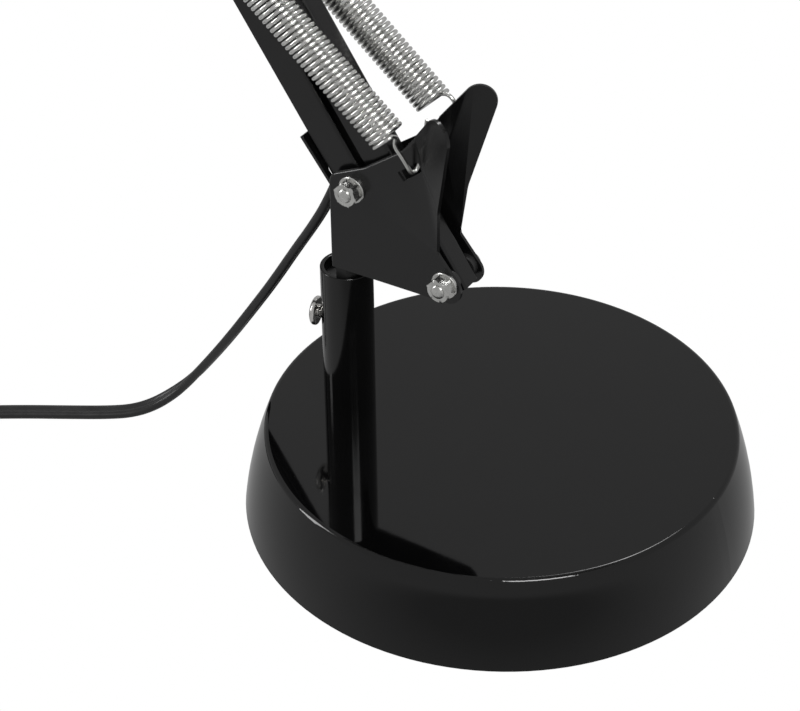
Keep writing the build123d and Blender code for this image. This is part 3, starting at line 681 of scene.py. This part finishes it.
@dataclass
class Stage:
    """White floor, plain surroundings, soft lights and the camera.

    Attributes:
        azimuth: the camera's direction round the lamp, in degrees.
        elevation: the camera's height angle, in degrees.
        distance: camera to the middle of the base, along its axis.
        aside: the camera's offset to its right and upwards.
        roll: the camera's roll, in radians.
        lens: focal length in mm, on a 36 mm sensor.
        floor: half the floor's width.
        surround: brightness of the surroundings in reflections.
        painted_shadow_at: middle of the painted shadow, a darker part of the floor in front of the lamp that
            shows only in reflections.
        painted_shadow_reach: radii over which the floor comes back from the painted shadow to full
            brightness.
        painted_shadow_level: the floor's brightness in the painted shadow, in reflections.
    """

    azimuth: float = 32.0
    elevation: float = 36.52
    distance: float = 0.7911
    aside: tuple[float, float] = (-0.03671, 0.05201)
    roll: float = -0.010
    lens: float = 94.7
    floor: float = 6.0
    surround: float = 0.42
    painted_shadow_at: Point = (0.12, -0.2, 0.0)
    painted_shadow_reach: tuple[float, float] = (0.09, 0.2)
    painted_shadow_level: float = 0.24

    def camera(self) -> None:
        """Set up the camera."""
        turn = Matrix.Rotation(math.radians(self.azimuth), 3, "Z")
        e = math.radians(self.elevation)
        right = turn @ Vector((1, 0, 0))
        ahead = turn @ Vector((0, math.cos(e), -math.sin(e)))
        up = turn @ Vector((0, math.sin(e), math.cos(e)))
        place = -ahead * self.distance + right * self.aside[0] + up * self.aside[1]
        c, s = math.cos(self.roll), math.sin(self.roll)
        axes = Matrix((c * right + s * up, -s * right + c * up, -ahead)).transposed()
        camera = bpy.data.cameras.new("camera")
        camera.lens, camera.sensor_width = self.lens, 36.0
        camera.clip_start, camera.clip_end = 0.01, 50.0
        made = bpy.data.objects.new("camera", camera)
        made.matrix_world = Matrix.Translation(place) @ axes.to_4x4()
        bpy.context.scene.collection.objects.link(made)
        bpy.context.scene.camera = made

    def world(self) -> None:
        """White to the camera, dimmer in reflections."""
        world = bpy.data.worlds.new("studio")
        world.use_nodes = True
        nodes, links = world.node_tree.nodes, world.node_tree.links
        back = nodes["Background"]
        level = brightness(world.node_tree, self.surround)
        links.new(level.outputs["Result"], back.inputs["Strength"])
        back.inputs["Color"].default_value = (1.0, 1.0, 1.0, 1.0)
        bpy.context.scene.world = world

    def ground(self) -> bpy.types.Object:
        """White floor without a visible shadow to the camera, with a painted shadow in front of the base that
        shows only in reflections.
        """
        half = self.floor
        mesh = bpy.data.meshes.new("floor")
        corners = [(-half, -half, 0), (half, -half, 0), (half, half, 0), (-half, half, 0)]
        mesh.from_pydata(corners, [], [(0, 1, 2, 3)])
        made = as_object("floor", mesh)
        paint = bpy.data.materials.new("floor_white")
        paint.use_nodes = True
        nodes, links = paint.node_tree.nodes, paint.node_tree.links
        nodes.clear()
        level = brightness(paint.node_tree, self.surround)
        # Painted shadow: the floor is darker round a spot in front of the base, only in reflections, standing
        # in for the lamp's shadow on the floor.
        spot = nodes.new("ShaderNodeTexCoord")
        away = nodes.new("ShaderNodeVectorMath")
        away.operation = "DISTANCE"
        away.inputs[1].default_value = self.painted_shadow_at
        links.new(spot.outputs["Object"], away.inputs[0])
        painted_shadow = nodes.new("ShaderNodeMapRange")
        painted_shadow.interpolation_type = "SMOOTHSTEP"
        for label, value in zip(("From Min", "From Max", "To Min", "To Max"),
                                (*self.painted_shadow_reach, self.painted_shadow_level, self.surround)):
            painted_shadow.inputs[label].default_value = value
        links.new(away.outputs["Value"], painted_shadow.inputs["Value"])
        links.new(painted_shadow.outputs["Result"], level.inputs["A"])
        glow = nodes.new("ShaderNodeEmission")
        end = nodes.new("ShaderNodeOutputMaterial")
        links.new(level.outputs["Result"], glow.inputs["Strength"])
        links.new(glow.outputs["Emission"], end.inputs["Surface"])
        made.data.materials.append(paint)
        return made

    def light(self, name: str, place: Point, size: tuple[float, float], power: float) -> None:
        """Soft box at a place, facing the lamp.

        Args:
            name: the light's name.
            place: its middle.
            size: its width and height.
            power: its power in watts.
        """
        lamp = bpy.data.lights.new(name, "AREA")
        lamp.shape = "RECTANGLE"
        lamp.size, lamp.size_y = size
        lamp.energy = power
        made = bpy.data.objects.new(name, lamp)
        made.location = place
        made.rotation_euler = (Vector((0.0, 0.0, 0.1)) - Vector(place)).to_track_quat("-Z", "Y").to_euler()
        bpy.context.scene.collection.objects.link(made)

    def build(self) -> None:
        """Make the stage."""
        self.camera()
        self.world()
        self.ground()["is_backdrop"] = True
        self.light("key", (1.1, -0.9, 1.7), (0.9, 0.7), 26.0)
        self.light("left", (-1.5, -0.9, 0.7), (0.35, 1.1), 9.0)
        self.light("back", (-0.4, 1.2, 1.9), (0.8, 0.4), 10.0)
        bpy.context.scene.view_settings.view_transform = "Standard"
        LOG.info("stage ready")


# ---------------------------------------------------------------- sub-assemblies
@dataclass
class Plain:
    """CAD nodes whose shape is right: they only get their finish.

    Attributes:
        finishes: names of the nodes by finish.
        rounded: names of nodes that get rounded edges and the arm enamel, with their body and rounding.
    """

    finishes: dict[Finish, tuple[str, ...]] = field(default_factory=lambda: {
        POST_ENAMEL: ("post_tube",),
        COVER_ENAMEL: ("base_shell",),
        CAST_IRON: ("base_weight",),
        SHEET_STEEL: ("base_plate",),
        FOAM: ("base_pad",),
        ZINC: ("plate_screws", "post_bolt", "post_washer", "bracket_rivets"),
        NYLON: ("post_plug", "bracket_spigot", "bracket_spacers", "elbow_spacers", "head_spacers",
                "cap_gland"),
        PIN_STEEL: ("lower_spring_pin", "upper_spring_pin"),
        VINYL: ("coil_tie", "plug_body", "lead_in_lower_bar", "lead_in_upper_bar"),
        BRASS: ("plug_blades", "lampholder_thread"),
        SCREW_STEEL: ("shade_screws",),
        PHENOLIC: ("lampholder", "switch_knob"),
        ALUMINIUM: ("bulb_base",),
        FROSTED: ("bulb_glass",),
        SHADE_ENAMEL: ("shade_cap", "shade_lug"),
    })
    rounded: tuple[tuple[str, str, float], ...] = (
        ("arm_bracket", "bracket", 0.35), ("lower_rear_bar", "lower_rear_bar", 0.28),
        ("lower_front_bar", "lower_front_bar", 0.28), ("upper_top_bar", "upper_top_bar", 0.28),
        ("upper_under_bar", "upper_under_bar", 0.28), ("elbow_front_plate", "elbow", 0.3),
        ("elbow_rear_plate", "elbow", 0.3), ("head_front_plate", "head", 0.3),
        ("head_rear_plate", "head", 0.3),
    )

    def build(self, nodes: dict[str, bpy.types.Object]) -> None:
        """Dress the CAD nodes and round the sheet parts' edges.

        Args:
            nodes: the frame's CAD nodes by name.
        """
        for finish, names in self.finishes.items():
            for name in names:
                for slot in nodes[name].material_slots:
                    slot.link = "OBJECT"
                    slot.material = finish.material()
                LOG.info("%s is %s", name, finish.name)
        for node, body, edge in self.rounded:
            seat(softened(node, f"{node}_finished", edge * MM), body, ARM_ENAMEL)


@dataclass
class SetScrew:
    """Bright domed screw with a slot, in the side of the post.

    Attributes:
        height: its axis above the desk.
        azimuth: its direction from the post, in degrees.
        post_r: the post's radius.
        gap: post to the underside of the head.
        shank_r: radius of the shank.
        head_r: radius of the head.
        head_h: height of the head.
        dome_h: height of its domed part.
    """

    height: float = 74.0
    azimuth: float = 194.0
    post_r: float = 9.5
    gap: float = 1.6
    shank_r: float = 2.42
    head_r: float = 5.35
    head_h: float = 3.0
    dome_h: float = 1.9

    def build(self) -> None:
        """Make the screw."""
        under = self.post_r + self.gap
        top = under + self.head_h
        thread = [(self.shank_r - 0.25 * (i % 2), self.post_r - 1.4 + 0.4 * i) for i in range(8)]
        dome = dome_points(self.head_r, top, self.dome_h, 13)
        edge = [(self.shank_r, under), (self.head_r - 0.3, under), (self.head_r, under + 0.3)]
        profile = [(0.0, thread[0][1])] + thread + edge + dome
        lean = Matrix.Rotation(math.radians(self.azimuth), 4, "Z") @ Matrix.Rotation(math.pi / 2, 4, "Y")
        place = Matrix.Translation(PLANE.at(0, self.height)) @ lean @ Matrix.Diagonal((MM, MM, MM, 1))
        screw = lathe("set_screw_finished", profile, 64, place)
        seat(screw, "set_screw", SCREW_STEEL, ("set_screw",))


@dataclass
class Fasteners:
    """Nuts, washers and bolts of one pair of plates.

    Attributes:
        body: body that they ride on, and the start of their nodes' names.
        plate: outer face of the plates from the arm plane.
        bolt_r: radius of the bolts.
        nut_r: half the nut across its flats.
        nut_h: height of the nuts.
        head_r: radius of the bolts' round heads.
        head_h: height of the heads, which bear on the far plate.
        washer_r: radius of the washers.
        washer_t: thickness of the washers.
        tip: bolt end beyond the nut.
        tip_h: height of its dome.
        head_round: rounding of the heads.
        turn: turn of the hexagons, in degrees.
    """

    body: str
    plate: float = 8.0
    bolt_r: float = 2.5
    nut_r: float = 4.0
    nut_h: float = 4.0
    head_r: float = 4.6
    head_h: float = 2.0
    washer_r: float = 5.0
    washer_t: float = 1.0
    tip: float = 1.0
    tip_h: float = 0.8
    head_round: float = 1.4
    turn: float = 12.0

    def spots(self) -> list[Point]:
        """Middle of each bolt, found from the CAD node."""
        groups: list[list[Vector]] = []
        for vertex in bpy.data.objects[f"{self.body}_bolts"].data.vertices:
            for group in groups:
                if math.hypot(group[0].x - vertex.co.x, group[0].z - vertex.co.z) < 0.011:
                    group.append(vertex.co)
                    break
            else:
                groups.append([vertex.co])
        middle = PLANE.y * MM
        across = [[v.x for v in group] for group in groups]
        up = [[v.z for v in group] for group in groups]
        return [((min(x) + max(x)) / 2, middle, (min(z) + max(z)) / 2) for x, z in zip(across, up)]

    def hexagon(self, name: str, low: float, high: float, bore: float) -> bpy.types.Object:
        """Nut with its corners chamfered round both faces.

        Args:
            name: the object's name.
            low: height of its lower face.
            high: height of its upper face.
            bore: radius of its bore.

        Returns:
            The nut in metres, its axis on Z.
        """
        corner = self.nut_r / math.cos(math.pi / 6)
        cut = corner - self.nut_r
        rings = [(self.nut_r, low, False), (corner, low + cut * 0.5, True), (corner, high - cut * 0.5, True),
                 (self.nut_r, high, False)]
        steps = 72
        points, inside = [], [(bore, high), (bore, low)]
        for r, z, flats in rings:
            for j in range(steps):
                a = 2 * math.pi * j / steps
                flat = self.nut_r / math.cos((a % (math.pi / 3)) - math.pi / 6)
                reach = min(r, flat) if flats else min(self.nut_r, flat)
                points.append((reach * math.cos(a), reach * math.sin(a), z))
        for r, z in inside:
            points += [(r * math.cos(2 * math.pi * j / steps), r * math.sin(2 * math.pi * j / steps), z)
                       for j in range(steps)]
        return solid(name, [tuple(c * MM for c in p) for p in points], grid_faces(6, steps, True, True))

    def build(self) -> None:
        """Make the fasteners: washers, nuts and bolt ends in front, heads behind."""
        spots = self.spots()
        front = (math.pi / 2, math.radians(self.turn), 0.0)
        scale = Matrix.Diagonal((MM, MM, MM, 1))
        seat_z = self.plate + self.washer_t
        nut = self.hexagon("nut", seat_z, seat_z + self.nut_h, self.bolt_r + 0.05)
        nuts = stations(f"{self.body}_nuts_finished", nut, [(p, front) for p in spots], ZINC)
        seat(nuts, self.body, None, (f"{self.body}_nuts",))
        rim = [(self.bolt_r + 0.1, self.plate), (self.washer_r, self.plate), (self.washer_r, seat_z - 0.25),
               (self.washer_r - 0.25, seat_z), (self.bolt_r + 0.3, seat_z), (self.bolt_r + 0.1, seat_z - 0.2)]
        washer = lathe("washer", rim, 64, scale)
        washers = stations(f"{self.body}_washers_finished", washer, [(p, front) for p in spots], ZINC)
        seat(washers, self.body, None, (f"{self.body}_washers",))
        end = seat_z + self.nut_h + self.tip
        dome = dome_points(self.bolt_r, end, self.tip_h, 9)
        far = -self.plate - self.head_h
        cap = [(self.head_r * math.sin(a), far + self.head_round * (1 - math.cos(a)))
               for a in np.linspace(0, math.pi / 2, 9)]
        neck = [(self.head_r, -self.plate), (self.bolt_r, -self.plate)]
        bolt = lathe("bolt", cap + neck + dome, 48, scale)
        bolts = stations(f"{self.body}_bolts_finished", bolt, [(p, front) for p in spots], ZINC)
        seat(bolts, self.body, None, (f"{self.body}_bolts",))


@dataclass
class SpringPair:
    """Two close-wound springs side by side, hooked in the plates and looped on a bar's pin.

    Attributes:
        name: lower or upper, the start of the names of its bodies and nodes.
        foot: end in the plates, in the arm plane.
        length: foot to pin.
        lean: direction from the foot to the pin, in degrees forward of straight up.
        side: axis of each spring from the arm plane.
        outer_d: outside diameter.
        wire_d: wire's diameter.
        reach: hook or loop at each end.
        pitch: wire to wire along the axis.
        loop_r: radius of the loop on the pin.
        flip: -1 to measure across the axis the other way.
        shift: how far across the coil's low end stands off the line from foot to pin.
    """

    name: str
    foot: tuple[float, float]
    length: float
    lean: float
    side: float = 14.0
    outer_d: float = 13.0
    wire_d: float = 1.48
    reach: float = 13.0
    pitch: float = 1.84
    loop_r: float = 4.4
    flip: float = 1.0
    shift: float = 0.0

    def place(self, along: float, across: float, aside: float) -> Point:
        """Row frame point of a place on the spring: along its axis, across it in the plane, and aside."""
        a = math.radians(self.lean)
        x = self.foot[0] + along * math.sin(a) + across * self.flip * math.cos(a)
        z = self.foot[1] + along * math.cos(a) - across * self.flip * math.sin(a)
        return PLANE.at(x, z, aside)

    def path(self, sign: float) -> np.ndarray:
        """Centre line of one spring's wire.

        Args:
            sign: -1 for the front spring, 1 for the rear one.

        Returns:
            Points in metres, N by 3.
        """
        r = (self.outer_d - self.wire_d) / 2
        start, end = self.reach, self.length - self.reach
        turns = round((end - start) / self.pitch)
        steps = 20
        t = np.linspace(0, turns, turns * steps + 1)
        uneven = 0.22 * np.sin(2.1 * t) * np.exp(-t / 2.5)
        height = start + (end - start) * t / turns + uneven * np.minimum(t, 1)
        angle = 2 * math.pi * t
        off = self.shift * (end - height) / (end - start)
        coil = [self.place(h, o + r * math.cos(a), sign * (self.side + r * math.sin(a)))
                for h, o, a in zip(height, off, angle)]
        if sign < 0:
            hook = [(10.3, 18.2, 5.8), (6.5, 13.0, 5.4), (2.0, 6.0, 5.2), (-0.6, 1.4, 5.6), (-0.8, 0.3, 8.4),
                    (1.2, 2.2, 10.0), (6.0, 4.6, 11.6), (11.0, 6.4, 13.2)]
        else:
            hook = [(0.0, 0.3, 4.6), (0.0, 0.6, 8.6), (0.6, 3.6, 11.4), (3.4, 9.5, 13.0)]
            hook += [(7.2, 14.6, self.side), (12.0, 15.0, self.side), (14.2, 11.5, self.side)]
        if not self.shift:
            hook = [(u, v - u / 2, w) for u, v, w in hook]
        ends = spline([self.place(u, v, sign * w) for u, v, w in hook] + [coil[0], coil[3]], 7)[:-7]
        far = self.length
        ring = [(far - self.loop_r * math.cos(a), self.loop_r * math.sin(a))
                for a in np.radians(np.linspace(0, 325, 30))]
        bend = [(end + 1.2, r * 0.9), (end + 4.0, r * 0.35)]
        loop = [self.place(u, v, sign * self.side) for u, v in bend + ring]
        top = spline([coil[-4]] + loop, 4)
        return np.concatenate([ends, np.array(coil[2:-4]), top])

    def build(self) -> None:
        """Make both springs as one piece."""
        made = wire(f"{self.name}_springs_finished", [self.path(-1.0), self.path(1.0)], self.wire_d / 2 * MM,
                    SPRING_WIRE, 10)
        self.place(self.reach, 0, 0)
        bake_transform(made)
        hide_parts(f"{self.name}_springs", f"{self.name}_spring_loops")
        LOG.info("%s springs stretch between their ends", self.name)


@dataclass
class Lead:
    """Flat twin lead, free behind the post and held along the arms.

    Attributes:
        width: across both cores.
        thick: one core's diameter.
        diameter: the frame's round cord of the same lead; not used.
        length: whole free cord; not used.
        route: free run from the bracket to the coil, from the swivel axis.
        coil: middle of the coil, from the swivel axis.
        layers: height of the coil's layers.
        tracks: radii of the coil's outermost turn and the next one.
        plug: where the lead enters the plug, from the swivel axis.
    """

    width: float = 6.7
    thick: float = 3.4
    diameter: float = 5.8
    length: float = 1.8
    route: tuple[Point, ...] = (
        (-3.2, 0, 129), (-6.6, -0.5, 120.5), (-12.5, -1, 109.5), (-20.5, -1.5, 96.5), (-30.5, -2, 79.5),
        (-41.5, -2, 62.5), (-53.5, -2, 44.5), (-65, -2, 28.5), (-74, -2.3, 16.8), (-80.8, -4.6, 9.6),
        (-87.3, -9.1, 4.6), (-94, -14.2, 2.2), (-102, -19.5, 1.75), (-115, -27.2, 1.75), (-132, -37, 1.75),
        (-150, -48.5, 1.75), (-168, -61.5, 1.75))
    coil: tuple[float, float] = (-203.0, -39.0)
    layers: tuple[float, float, float] = (1.75, 5.2, 8.6)
    tracks: tuple[float, float] = (39.5, 32.75)
    plug: Point = (-242.0, -12.0, 7.0)

    def wound(self) -> list[Point]:
        """Coil of seven and a third turns in three layers, clockwise from above."""
        wide, middle = self.tracks
        low, second, top = self.layers
        step = wide - middle
        t = np.linspace(0, 7 + 1 / 3, 360)
        radius = wide - step * (ease(t, 0.88, 1.12) + ease(t, 1.88, 2.12))
        radius += step * (ease(t, 3.88, 4.12) + ease(t, 4.88, 5.12))
        radius += step * (ease(t, 7.0, 7.15) - ease(t, 6.0, 6.15))
        height = low + (second - low) * ease(t, 2.85, 3.1) + (top - second) * ease(t, 5.8, 6.0)
        height += (top - second) * (ease(t, 6.85, 7.0) - ease(t, 7.17, 7.33))
        angle = math.radians(-60.6) - 2 * math.pi * t
        return [(self.coil[0] + r * math.cos(a), self.coil[1] + r * math.sin(a), z)
                for r, a, z in zip(radius, angle, height)]

    def free(self) -> np.ndarray:
        """Centre line of the free cord, from the bracket to the plug, in metres."""
        coil = self.wound()
        away = [(self.plug[0], self.plug[1] - d, self.plug[2]) for d in (14.0, 6.0, 0.0)]
        run = spline(list(self.route) + coil[:3], 8)
        tail = spline(coil[-3:] + away, 8)
        line = np.concatenate([run[:-8], np.array(coil[2:-2]), tail[8:]])
        return (line + np.array([PLANE.x, PLANE.y, 0.0])) * MM

    def free_cord(self) -> None:
        line = self.free()
        ahead = np.gradient(line, axis=0)
        across = np.stack([-ahead[:, 1], ahead[:, 0], np.zeros(len(line))], axis=1)
        across /= np.linalg.norm(across, axis=1)[:, None]
        section = twin_section(self.width, self.thick) * MM
        cord = sweep("free_cord", line, across, section)
        dress(cord, VINYL)
        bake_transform(cord)
        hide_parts("cord_run", "cord_coil")
        measured = float(np.linalg.norm(np.diff(line, axis=0), axis=1).sum())
        LOG.info("free cord is %.3f m long", measured)

    def held(self, name: str, points: Sequence[tuple[float, float]], ends: tuple[str, str],
             nodes: Iterable[str]) -> None:
        """Short lead across a joint, in the arm plane.

        Args:
            name: the piece's name.
            points: its corners in the arm plane.
            ends: bodies at its start and its end; not used.
            nodes: CAD nodes that it replaces.
        """
        line = spline([PLANE.at(x, z) for x, z in points], 10)
        across = np.tile((0.0, 1.0, 0.0), (len(line), 1))
        made = sweep(name, line, across, twin_section(self.width - 1.1, self.thick - 0.6) * MM)
        dress(made, VINYL)
        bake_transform(made)
        if nodes:
            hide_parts(*nodes)
        LOG.info("%s bends from %s to %s", name, *ends)

    def build(self) -> None:
        """Make the free cord and the leads across the joints."""
        self.free_cord()
        at = PLANE.along
        rear, top = (REAR_PIVOT, LOWER_LEAN, -6.0), (ELBOW_C, UPPER_LEAN, -6.0)
        self.held("bracket_lead", [(-3.2, 129.0), at(*rear, 8.0), at(*rear, 14.0), at(*rear, 17.0)],
                  ("bracket", "lower_rear_bar"), ("lead_at_bracket",))
        below, above = at(*rear, 346.0), at(*top, -16.0)
        middle = ((below[0] + above[0]) / 2, (below[1] + above[1]) / 2)
        self.held("elbow_lead_low", [at(*rear, 312.0), at(*rear, 330.0), below, middle],
                  ("lower_rear_bar", "elbow"), ("lead_at_elbow",))
        self.held("elbow_lead_high", [middle, above, at(*top, 0.0), at(*top, 18.0)],
                  ("elbow", "upper_top_bar"), ())
        x, z = HEAD_A
        bend = (x + 34.0, z + 15.5)
        out = at(TILT, -20.0, 16.5, -17.0)
        over = [at(*top, 312.0), at(*top, 330.0), (x + 12.0, z + 10.8), (x + 23.0, z + 14.5), bend]
        self.held("head_lead", over,
                  ("upper_top_bar", "head"), ("lead_at_head",))
        down = [bend, (x + 45.0, z + 12.0), (x + 51.0, z - 4.0), (x + 54.0, z - 16.0), out]
        self.held("shade_lead", down,
                  ("head", "shade"), ())


@dataclass
class Shade:
    """Bell shade, black outside and white inside.

    Attributes:
        lean: turn of the shade's axis, in degrees.
    """

    lean: float = -20.0

    def build(self) -> None:
        """Make the two-coloured shade."""
        bell = softened("shade_shell", "shade_bell", 0.2 * MM, 1)
        dress(bell, SHADE_ENAMEL)
        bell.data.materials.append(SHADE_WHITE.material())
        axis = Matrix.Rotation(math.radians(self.lean), 3, "Y") @ Vector((0, 0, 1))
        origin = Vector(PLANE.at(*TILT))
        white = 0
        for face in bell.data.polygons:
            out = face.center - origin
            out -= axis * out.dot(axis)
            inward = out.normalized().dot(face.normal) < -0.15
            face.material_index = 1 if inward else 0
            white += inward
        LOG.info("shade has %d white faces", white)
        seat(bell, "shade")


def main() -> dict:
    """Build the finished lamp round its frame.

    Returns:
        The shown object's corners before and after dressing, as plain lists.
    """
    logging.basicConfig(level=logging.INFO, format="%(name)s: %(message)s")
    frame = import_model()
    size = {"cad": [list(corner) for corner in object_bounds()]}
    Stage().build()
    Lead().build()
    Plain().build(frame["nodes"])
    SetScrew().build()
    for body in ("bracket", "elbow", "head"):
        Fasteners(body).build()
    SpringPair("lower", (31.6, 148.6), 135.2, -46.21, shift=7.6).build()
    SpringPair("upper", (-184.03, 465.98), 132.81, 80.39, flip=-1.0).build()
    Shade().build()
    size["finished"] = [list(corner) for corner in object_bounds()]
    return size


if __name__ == "__main__":
    main()
